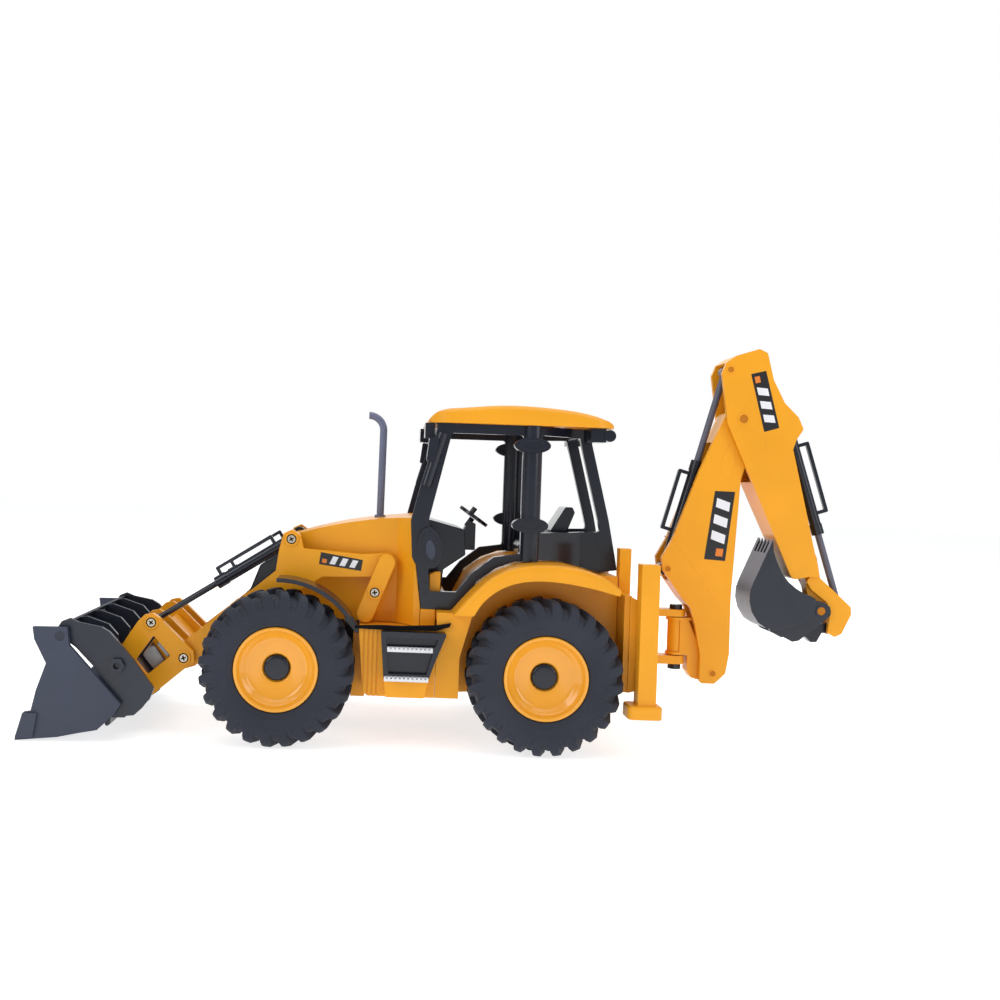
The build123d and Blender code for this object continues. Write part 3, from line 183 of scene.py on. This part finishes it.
# edge rounding of each moulding, in mm
SOFT_EDGES = {
    "hood": 0.7, "grille": 0.5, "lower_body": 0.4, "rear_body": 0.5, "left_tower": 0.3, "right_tower": 0.3,
    "left_mudguard": 0.4, "right_mudguard": 0.4, "cab_frame": 0.5, "cab_floor": 0.4, "roof": 0.5,
    "console": 0.5, "left_step_box": 0.35, "right_step_box": 0.35, "driver_seat": 0.6, "rear_frame": 0.45,
    "kingpost_arms": 0.4, "swing_casting": 0.35, "loader_arms": 0.45, "bucket_bracket": 0.4,
    "bucket_back": 0.35, "bucket_jaw": 0.35,
    "boom": 0.55, "dipper": 0.3, "tipping_link": 0.3, "bucket_link": 0.35, "digging_bucket": 0.3,
    "left_stabiliser": 0.4, "right_stabiliser": 0.4, "steering_column": 0.3, "work_lights": 0.4,
    "chassis_frame": 0.5, "tilt_ram_barrels": 0.25, "dipper_ram_barrel": 0.3, "bucket_ram_barrel": 0.3,
}
mouldings = {node_name: softened(node_name, edge) for node_name, edge in SOFT_EDGES.items()}


def tint(piece, material, chosen):
    """Gives the faces picked by chosen(centre in mm, normal) a second material."""
    piece.data.materials.append(material)
    for polygon in piece.data.polygons:
        if chosen(polygon.center / MM, polygon.normal):
            polygon.material_index = 1


# the digging bucket's rolled plate catches more light than its dark cheeks
tint(mouldings["digging_bucket"], GREY, lambda centre, normal: abs(normal.y) < 0.5 and centre.x < 202)
# the bracket's foot plate is the bucket's own dark back, seen through the bracket windows
tint(mouldings["bucket_bracket"], DARK_SLATE, lambda centre, normal: abs(centre.y) < 37 and centre.x < -161
     and centre.z < 43)


def lathe(name, profile, centre, side, material, body, segments=96):
    """Turned piece about a Y axis through centre: profile is (radius, y) in mm, y outwards on that side."""
    work = bmesh.new()
    rings = []
    for step in range(segments):
        turn = 2 * math.pi * step / segments
        rings.append([work.verts.new((r * MM * math.cos(turn), side * y * MM, r * MM * math.sin(turn)))
                      for r, y in profile])
    for step in range(segments):
        ring, after = rings[step], rings[(step + 1) % segments]
        for k in range(len(profile) - 1):
            face = work.faces.new((ring[k], ring[k + 1], after[k + 1], after[k]))
            face.smooth = True
    bmesh.ops.remove_doubles(work, verts=work.verts, dist=1e-7)
    bmesh.ops.recalc_face_normals(work, faces=work.faces)
    mesh = bpy.data.meshes.new(name)
    work.to_mesh(mesh)
    work.free()
    mesh.transform(Matrix.Translation(Vector(centre)))
    piece = add_object(name, mesh, material)
    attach(piece, body)
    return piece


def rounded_profile(points, radius, steps=4):
    """Closed or open (r, y) line with its inner corners rounded."""
    result = [points[0]]
    for before, here, after in zip(points, points[1:], points[2:]):
        a, b, c = Vector(before), Vector(here), Vector(after)
        cut = min(radius, (a - b).length * 0.45, (c - b).length * 0.45)
        start, end = b + (a - b).normalized() * cut, b + (c - b).normalized() * cut
        for k in range(steps + 1):
            t = k / steps
            result.append(tuple((1 - t) ** 2 * start + 2 * t * (1 - t) * b + t * t * end))
    return result + [points[-1]]


# ---------------------------------------------------------------- wheels
CARCASS = rounded_profile(
    [(22.1, -11.5), (22.1, -12.6), (24.0, -14.2), (27.5, -15.2), (31.0, -15.4), (34.0, -14.4), (36.4, -12.2),
     (37.4, -8.0), (37.6, 0.0), (37.4, 8.0), (36.4, 12.2), (34.0, 14.4), (31.6, 15.2), (31.0, 15.45),
     (30.2, 15.3), (27.5, 15.1), (25.2, 14.8), (24.6, 14.2), (23.4, 14.0), (22.6, 13.2), (22.1, 12.4),
     (22.1, 11.5)], 0.9)
# one tread bar, as stations from the sidewall to the middle of the tread: (radius, y), half width in mm
# and how far each station leans round the wheel in degrees
LUG_COUNT = 24
LUG_PITCH = 360 / LUG_COUNT
LUG_FOOT_SPREAD = 1.28
LUG_TOP = [(31.2, 15.4), (34.3, 15.3), (37.4, 14.6), (39.4, 13.1), (40.3, 10.4), (40.4, 5.5), (40.35, 0.9)]
LUG_BASE = [(31.0, 14.2), (33.2, 13.6), (35.2, 12.6), (36.4, 11.2), (37.1, 8.9), (37.2, 5.2), (37.2, 0.9)]
LUG_HALF_TOP = [2.75, 2.5, 2.25, 2.0, 1.9, 1.8, 1.7]
LUG_LEAN = [0.0, 0.2, 0.9, 1.9, 3.2, 5.6, 8.4]


def build_tyre(name, centre, side, body, node):
    """Turned carcass with tread bars on both halves of the tread, half a pitch apart."""
    tyre = lathe(name, CARCASS, (0, 0, 0), side, TYRE, body, 144)
    tyre.parent = None
    work = bmesh.new()
    work.from_mesh(tyre.data)
    for half in (1, -1):
        for lug in range(LUG_COUNT):
            turn = math.radians(LUG_PITCH * lug + (LUG_PITCH / 2 if half > 0 else 0.0))
            rows = []
            for top, base, half_width, lean in zip(LUG_TOP, LUG_BASE, LUG_HALF_TOP, LUG_LEAN):
                row = []
                for (radius, y), widen in ((base, LUG_FOOT_SPREAD), (top, 1.0)):
                    for edge in (-1, 1):
                        angle = turn + math.radians(lean) + edge * half_width * widen / radius
                        row.append(work.verts.new((radius * MM * math.cos(angle), side * half * y * MM,
                                                   radius * MM * math.sin(angle))))
                rows.append(row)
            for here, after in zip(rows, rows[1:]):
                for a, b in ((0, 2), (2, 3), (3, 1)):
                    work.faces.new((here[a], here[b], after[b], after[a]))
                work.faces.new((here[1], here[0], after[0], after[1]))
            work.faces.new((rows[0][0], rows[0][1], rows[0][3], rows[0][2]))
            work.faces.new((rows[-1][0], rows[-1][2], rows[-1][3], rows[-1][1]))
    bmesh.ops.recalc_face_normals(work, faces=work.faces)
    for face in work.faces:
        face.smooth = True
    work.to_mesh(tyre.data)
    work.free()
    tyre.data.transform(Matrix.Translation(Vector(centre)))
    round_edges(tyre, 0.38, 2, 38)
    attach(tyre, body)
    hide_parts(node)


RIM_PROFILE = rounded_profile(
    [(21.9, 9.0), (21.9, 13.4), (20.3, 13.4), (19.3, 10.9), (17.2, 9.2), (15.9, 8.0), (14.6, 7.4), (9.0, 6.7),
     (7.4, 6.3), (7.2, 4.8), (3.1, 4.7)], 1.3, 5)
RIM_BACK = rounded_profile(
    [(21.9, 9.0), (21.9, -12.0), (20.3, -12.6), (19.8, -11.0), (19.8, 8.6), (18.0, 6.8), (14.6, 4.4),
     (6.9, 2.4), (6.5, 1.6), (6.5, -11.6), (6.0, -12.0), (3.1, -12.0), (3.1, 4.7)], 0.8, 3)
CAP_PROFILE = rounded_profile([(0.0, 6.9), (5.4, 6.75), (6.4, 6.3), (6.9, 5.2), (6.9, 4.65)], 0.7, 4)

FRONT_AXLE_X, REAR_AXLE_X, AXLE_Z, WHEEL_Y = -0.0944, 0.0447, 0.0405, 0.0575
WHEELS = {"front_left": (FRONT_AXLE_X, -1), "front_right": (FRONT_AXLE_X, 1),
          "rear_left": (REAR_AXLE_X, -1), "rear_right": (REAR_AXLE_X, 1)}
for wheel, (x, side) in WHEELS.items():
    centre = (x, side * WHEEL_Y, AXLE_Z)
    body = wheel + "_wheel"
    build_tyre(wheel + "_tyre_tread", centre, side, body, wheel + "_tyre")
    rim = lathe(wheel + "_rim_dish", RIM_PROFILE + RIM_BACK[::-1], centre, side, RIM_YELLOW, body,
                128)
    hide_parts(wheel + "_rim")
    cap = lathe(wheel + "_cap_dome", CAP_PROFILE, centre, side, NAVY, body, 64)
    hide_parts(wheel + "_hub_cap")


# ---------------------------------------------------------------- flat pieces made from outlines
# outer faces that the details sit on: distance from the middle plane in mm
ARM_FACE = 36.7
TOWER_FACE = 41.0
BRACKET_FACE = 41.2
BOOM_FACE = 8.4
DIPPER_FACE = 11.5
EAR_FACE = 10.2
SCOOP_FACE = 13.0
CAB_FACE = 47.0
POST_FOOT_FACE = 49.35
POST_LUMP_FACE = 51.6
BODY_PANEL_FACE = 58.6
BUCKET_BACK_HALF = 66.4


def outline_piece(name, outer, y, thickness, material, body, side=-1, holes=(), edge=0.1):
    """Plate lying on an upright face at y (mm): outline in (x, z) mm, raised outwards by thickness."""
    curve = bpy.data.curves.new(name, "CURVE")
    curve.dimensions = "2D"
    curve.fill_mode = "BOTH"
    curve.extrude = max((thickness - 2 * edge) / 2, 0.01) * MM
    curve.bevel_depth = edge * MM
    curve.bevel_resolution = 2
    curve.offset = -edge * MM
    for loop in (outer, *holes):
        spline = curve.splines.new("POLY")
        spline.points.add(len(loop) - 1)
        for point, (px, pz) in zip(spline.points, loop):
            point.co = (px * MM, pz * MM, 0, 1)
        spline.use_cyclic_u = True
    shape = bpy.data.objects.new(name + "_line", curve)
    bpy.context.scene.collection.objects.link(shape)
    bpy.context.view_layer.update()
    mesh = bpy.data.meshes.new_from_object(shape.evaluated_get(bpy.context.evaluated_depsgraph_get()))
    bpy.data.objects.remove(shape)
    mesh.transform(Matrix.Translation((0, side * (y + thickness / 2) * MM, 0))
                   @ Matrix.Rotation(math.radians(90), 4, "X"))
    for polygon in mesh.polygons:
        polygon.use_smooth = False
    piece = add_object(name, mesh, material)
    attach(piece, body)
    return piece


def circle_points(cx, cz, radius, count=40):
    return [(cx + radius * math.cos(2 * math.pi * k / count), cz + radius * math.sin(2 * math.pi * k / count))
            for k in range(count)]


def cross_points(cx, cz, reach, half, turn):
    corners = [(reach, half), (half, half), (half, reach), (-half, reach), (-half, half), (-reach, half),
               (-reach, -half), (-half, -half), (-half, -reach), (half, -reach), (half, -half),
               (reach, -half)]
    c, s = math.cos(turn), math.sin(turn)
    return [(cx + x * c - z * s, cz + x * s + z * c) for x, z in corners]


def screw(name, cx, cz, face_y, body, node, turn):
    """Crosshead screw sunk in a raised ring on both sides of the machine; the near-black disc under each head
    is painted shade in the ring's recess.
    """
    for side, label in ((-1, "left"), (1, "right")):
        outline_piece(f"{name}_{label}_ring", circle_points(cx, cz, 3.9, 56), face_y - 0.05, 0.7, YELLOW,
                      body, side, [circle_points(cx, cz, 2.7, 48)], 0.22)
        # painted shade: near-black disc in the recess round the screw head
        outline_piece(f"{name}_{label}_seat", circle_points(cx, cz, 2.75, 48), face_y - 0.05, 0.12, PAINTED_GAP_SHADE,
                      body, side, (), 0.02)
        head = outline_piece(f"{name}_{label}_head", circle_points(cx, cz, 2.15, 48), face_y - 0.02, 0.6,
                             SCREW, body, side, [cross_points(cx, cz, 1.3, 0.32, turn)], 0.14)
        if side == -1:
            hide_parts(node)


screw("arm_screw", -91.0, 106.0, ARM_FACE, "arms", "arm_screws", 0.5)
screw("tower_screw", -44.9, 79.0, TOWER_FACE, "machine", "tower_screws", 0.2)
screw("bracket_top_screw", -164.7, 58.7, BRACKET_FACE, "bucket_carrier", "bracket_screws", 0.9)
screw("bracket_low_screw", -146.6, 40.2, BRACKET_FACE, "bucket_carrier", "bracket_screws", 0.35)


def decal(name, corners, y, body, side):
    """Generic label: dark panel with a small orange mark and three slanted pale bars.

    corners run round the panel, the first edge being the end that carries the orange mark."""
    a, b, c, d = [Vector(p) for p in corners]

    def spot(u, v):
        near, far = a.lerp(d, u), b.lerp(c, u)
        return tuple(near.lerp(far, v))

    def patch(u_low, u_high, v_low, v_high, slant=0.0):
        return [spot(u_low, v_low), spot(u_high, v_low), spot(u_high + slant, v_high),
                spot(u_low + slant, v_high)]

    outline_piece(name + "_panel", patch(0, 1, 0, 1), y, 0.12, LABEL, body, side, (), 0.02)
    outline_piece(name + "_mark", patch(0.06, 0.17, 0.16, 0.5), y + 0.1, 0.08, LABEL_ORANGE, body,
                  side, (), 0.01)
    for k in range(3):
        u = 0.24 + 0.235 * k
        outline_piece(f"{name}_bar_{k}", patch(u, u + 0.13, 0.16, 0.84, 0.06), y + 0.1, 0.08, LABEL_PALE,
                      body, side, (), 0.01)


def ridge(name, points, y, radius, material, body, side, closed=False, sink=0.55):
    """Fine moulded line on an upright face: a half-sunk bead along points (x, z) mm."""
    curve = bpy.data.curves.new(name, "CURVE")
    curve.dimensions = "3D"
    curve.bevel_depth = radius * MM
    curve.bevel_resolution = 3
    curve.use_fill_caps = True
    spline = curve.splines.new("NURBS")
    spline.points.add(len(points) - 1)
    for point, (px, pz) in zip(spline.points, points):
        point.co = (px * MM, side * (y - radius * sink) * MM, pz * MM, 1)
    spline.use_cyclic_u = closed
    spline.use_endpoint_u = not closed
    spline.order_u = 3
    spline.resolution_u = 6
    shape = bpy.data.objects.new(name + "_line", curve)
    bpy.context.scene.collection.objects.link(shape)
    bpy.context.view_layer.update()
    mesh = bpy.data.meshes.new_from_object(shape.evaluated_get(bpy.context.evaluated_depsgraph_get()))
    bpy.data.objects.remove(shape)
    for polygon in mesh.polygons:
        polygon.use_smooth = True
    piece = add_object(name, mesh, material)
    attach(piece, body)
    return piece


def pin_dimple(name, centre, y, radius, body, side, material=YELLOW):
    """Moulded pin end: a low collar round a flat middle disc in a deeper yellow, which is painted shade
    standing for a dished middle.
    """
    outline_piece(name + "_collar", circle_points(*centre, radius, 56), y - 0.05, 0.35, material, body,
                  side, [circle_points(*centre, radius * 0.68, 48)], 0.14)
    # painted shade: flat disc whose deeper yellow stands for the shade inside the dish
    outline_piece(name + "_dish", circle_points(*centre, radius * 0.69, 48), y - 0.05, 0.1, DISH_SHADE_YELLOW, body,
                  side, (), 0.02)


def ellipse_points(cx, cz, half_x, half_z, lean, count=48):
    c, s = math.cos(lean), math.sin(lean)
    return [(cx + half_x * math.cos(t) * c - half_z * math.sin(t) * s,
             cz + half_x * math.cos(t) * s + half_z * math.sin(t) * c)
            for t in [2 * math.pi * k / count for k in range(count)]]


# ---------------------------------------------------------------- details on both sides
POST_FOOT_LEAN = 0.14
for side, label in ((-1, "left"), (1, "right")):
    decal(f"arm_label_{label}", [(-75.7, 93.0), (-74.8, 99.5), (-51.9, 96.0), (-52.75, 90.0)], ARM_FACE,
          "arms", side)
    decal(f"boom_label_{label}", [(153.2, 100.5), (141.3, 101.2), (146.2, 140.1), (157.6, 139.9)], BOOM_FACE,
          "boom_body", side)
    decal(f"dipper_label_{label}", [(163.4, 206.8), (171.8, 208.9), (180.3, 176.9), (171.9, 174.4)],
          DIPPER_FACE, "dipper_body", side)

    # digging arm: pin ends, raised panel outlines and the crease across the boom
    pin_dimple(f"dipper_head_pin_{label}", (151.9, 209.0), DIPPER_FACE, 2.5, "dipper_body", side)
    pin_dimple(f"dipper_pivot_pin_{label}", (160.1, 181.3), DIPPER_FACE, 3.6, "dipper_body", side)
    pin_dimple(f"boom_ram_pin_{label}", (120.9, 94.9), BOOM_FACE, 2.3, "boom_body", side)
    pin_dimple(f"boom_foot_pin_{label}", (148.3, 36.4), BOOM_FACE, 2.4, "boom_body", side)
    ridge(f"dipper_panel_line_{label}",
          [(156.4, 177.8), (162.7, 176.0), (167.8, 175.6), (171.6, 173.8), (173.1, 169.9), (173.7, 164.0)],
          DIPPER_FACE, 0.3, YELLOW, "dipper_body", side)
    ridge(f"boom_panel_line_{label}",
          [(153.2, 167.6), (150.5, 162.4), (149.0, 156.6), (148.9, 153.2), (152.8, 147.1), (156.2, 146.9),
           (156.3, 152.3), (156.8, 160.9), (155.5, 167.1)],
          BOOM_FACE, 0.3, YELLOW, "boom_body", side, True)
    ridge(f"boom_crease_{label}",
          [(122.6, 113.0), (130.8, 102.7), (139.3, 92.1), (146.0, 81.5), (152.6, 71.0)],
          BOOM_FACE, 0.28, YELLOW, "boom_body", side)

    # cab: plate at the foot of the front post, belt ribs and rings on the middle post
    outline_piece(f"post_foot_ring_{label}", ellipse_points(-16.2, 104.2, 5.0, 9.0, POST_FOOT_LEAN),
                  POST_FOOT_FACE, 0.5, NAVY, "machine", side,
                  [ellipse_points(-16.2, 104.2, 3.9, 7.6, POST_FOOT_LEAN)], 0.16)
    outline_piece(f"post_foot_plate_{label}", ellipse_points(-16.0, 103.6, 2.4, 5.2, POST_FOOT_LEAN),
                  POST_FOOT_FACE, 0.4, SLATE, "machine", side, (), 0.16)
    for rib_z, rib_start in ((80, -19.6), (86, -19.0)):
        ridge(f"belt_rib_{label}_{rib_z}", [(rib_start, rib_z), (-17.2, rib_z)], CAB_FACE, 0.3, NAVY,
              "machine", side)
    for lump_z in (118.4, 160.8):
        outline_piece(f"post_lump_ring_{label}_{lump_z:.0f}", ellipse_points(36.2, lump_z, 7.4, 2.9, 0.0),
                      POST_LUMP_FACE, 0.5, NAVY, "machine", side,
                      [ellipse_points(36.2, lump_z, 5.6, 1.7, 0.0)], 0.16)

    # digging bucket: pin end and the pressed line along the cheek
    pin_dimple(f"bucket_pivot_pin_{label}", (208.2, 74.1), EAR_FACE, 3.4, "scoop", side, DARK_SLATE)
    ridge(f"cheek_crease_{label}",
          [(177.3, 97.8), (183.1, 95.1), (189.0, 86.9), (193.8, 77.5), (198.2, 69.4)],
          SCOOP_FACE, 0.3, DARK_SLATE, "scoop", side)

    # near-black strip painted as the shade in the gap between the upper body and the lower panel
    outline_piece(f"body_seal_{label}",
                  [(-54.6, 62.2), (-41.0, 61.9), (-12.0, 62.3), (-5.2, 64.4), (-4.6, 66.4), (-12.2, 64.9),
                   (-30.0, 64.0), (-41.0, 64.1), (-54.6, 63.6)],
                  BODY_PANEL_FACE, 3.6, PAINTED_GAP_SHADE, "machine", side, (), 0.3)

# lip under the bucket back that closes the slit behind the jaw's floor, from one side to the other
outline_piece("bucket_back_lip",
              [(-181.0, 15.0), (-182.0, 13.2), (-181.9, 8.4), (-180.6, 7.8), (-179.2, 8.8), (-178.6, 14.6)],
              -BUCKET_BACK_HALF, 2 * BUCKET_BACK_HALF, DARK_SLATE, "bucket_carrier", 1,
              (), 0.3)

# ---------------------------------------------------------------- camera, light and floor
camera_data = bpy.data.cameras.new("camera")
camera_data.sensor_width = 36.0
camera_data.lens = 40.61
camera_data.shift_x = 0.12
camera_data.shift_y = -0.022
camera_data.clip_start = 0.01
camera = bpy.data.objects.new("camera", camera_data)
bpy.context.scene.collection.objects.link(camera)
tilt = math.radians(2.0)
camera.matrix_world = Matrix((
    (math.cos(tilt), -math.sin(tilt), 0, -0.0442),
    (0, 0, -1, -0.649),
    (math.sin(tilt), math.cos(tilt), 0, 0.1408),
    (0, 0, 0, 1)))
bpy.context.scene.camera = camera


def area_light(name, place, target, size, power, size_y=None):
    data = bpy.data.lights.new(name, "AREA")
    data.energy = power
    data.shape = "RECTANGLE"
    data.size = size
    data.size_y = size_y or size
    lamp = bpy.data.objects.new(name, data)
    bpy.context.scene.collection.objects.link(lamp)
    lamp.location = place
    lamp.rotation_euler = (Vector(target) - Vector(place)).to_track_quat("-Z", "Y").to_euler()
    return lamp


area_light("top_softbox", (0.0, 0.1, 1.25), (0, 0, 0.08), 1.7, 10.5, 1.3)
area_light("front_left_softbox", (-1.05, -0.85, 0.75), (-0.02, 0, 0.08), 0.6, 5.6, 0.9)
area_light("front_right_softbox", (1.1, -0.8, 0.6), (0.05, 0, 0.08), 0.6, 4.2, 0.9)
area_light("rear_fill", (0.2, 1.1, 0.6), (0, 0, 0.08), 0.9, 3.0)

world = bpy.data.worlds.new("studio")
world.use_nodes = True
sky_nodes, sky_links = world.node_tree.nodes, world.node_tree.links
sky_nodes["Background"].inputs["Color"].default_value = (0.96, 0.98, 1.0, 1)
sky_nodes["Background"].inputs["Strength"].default_value = 0.42
backdrop = sky_nodes.new("ShaderNodeBackground")
backdrop.inputs["Color"].default_value = (1, 1, 1, 1)
rays = sky_nodes.new("ShaderNodeLightPath")
choose = sky_nodes.new("ShaderNodeMixShader")
sky_links.new(rays.outputs["Is Camera Ray"], choose.inputs["Fac"])
sky_links.new(sky_nodes["Background"].outputs["Background"], choose.inputs[1])
sky_links.new(backdrop.outputs["Background"], choose.inputs[2])
sky_links.new(choose.outputs["Shader"], sky_nodes["World Output"].inputs["Surface"])
bpy.context.scene.world = world
bpy.context.scene.view_settings.view_transform = "Standard"

floor_mesh = bpy.data.meshes.new("floor")
floor_work = bmesh.new()
bmesh.ops.create_grid(floor_work, x_segments=24, y_segments=24, size=4.0)
floor_work.to_mesh(floor_mesh)
floor_work.free()
floor_paper = plastic("studio_floor", (0.6, 0.6, 0.6), 0.8, mottle=0.004, grain=0.0, shine=0.0)
floor_paper.node_tree.nodes["Principled BSDF"].inputs["Emission Color"].default_value = (1, 1, 1, 1)
floor_paper.node_tree.nodes["Principled BSDF"].inputs["Emission Strength"].default_value = 0.74
floor = add_object("floor", floor_mesh, floor_paper)
floor.location.z = -0.0002
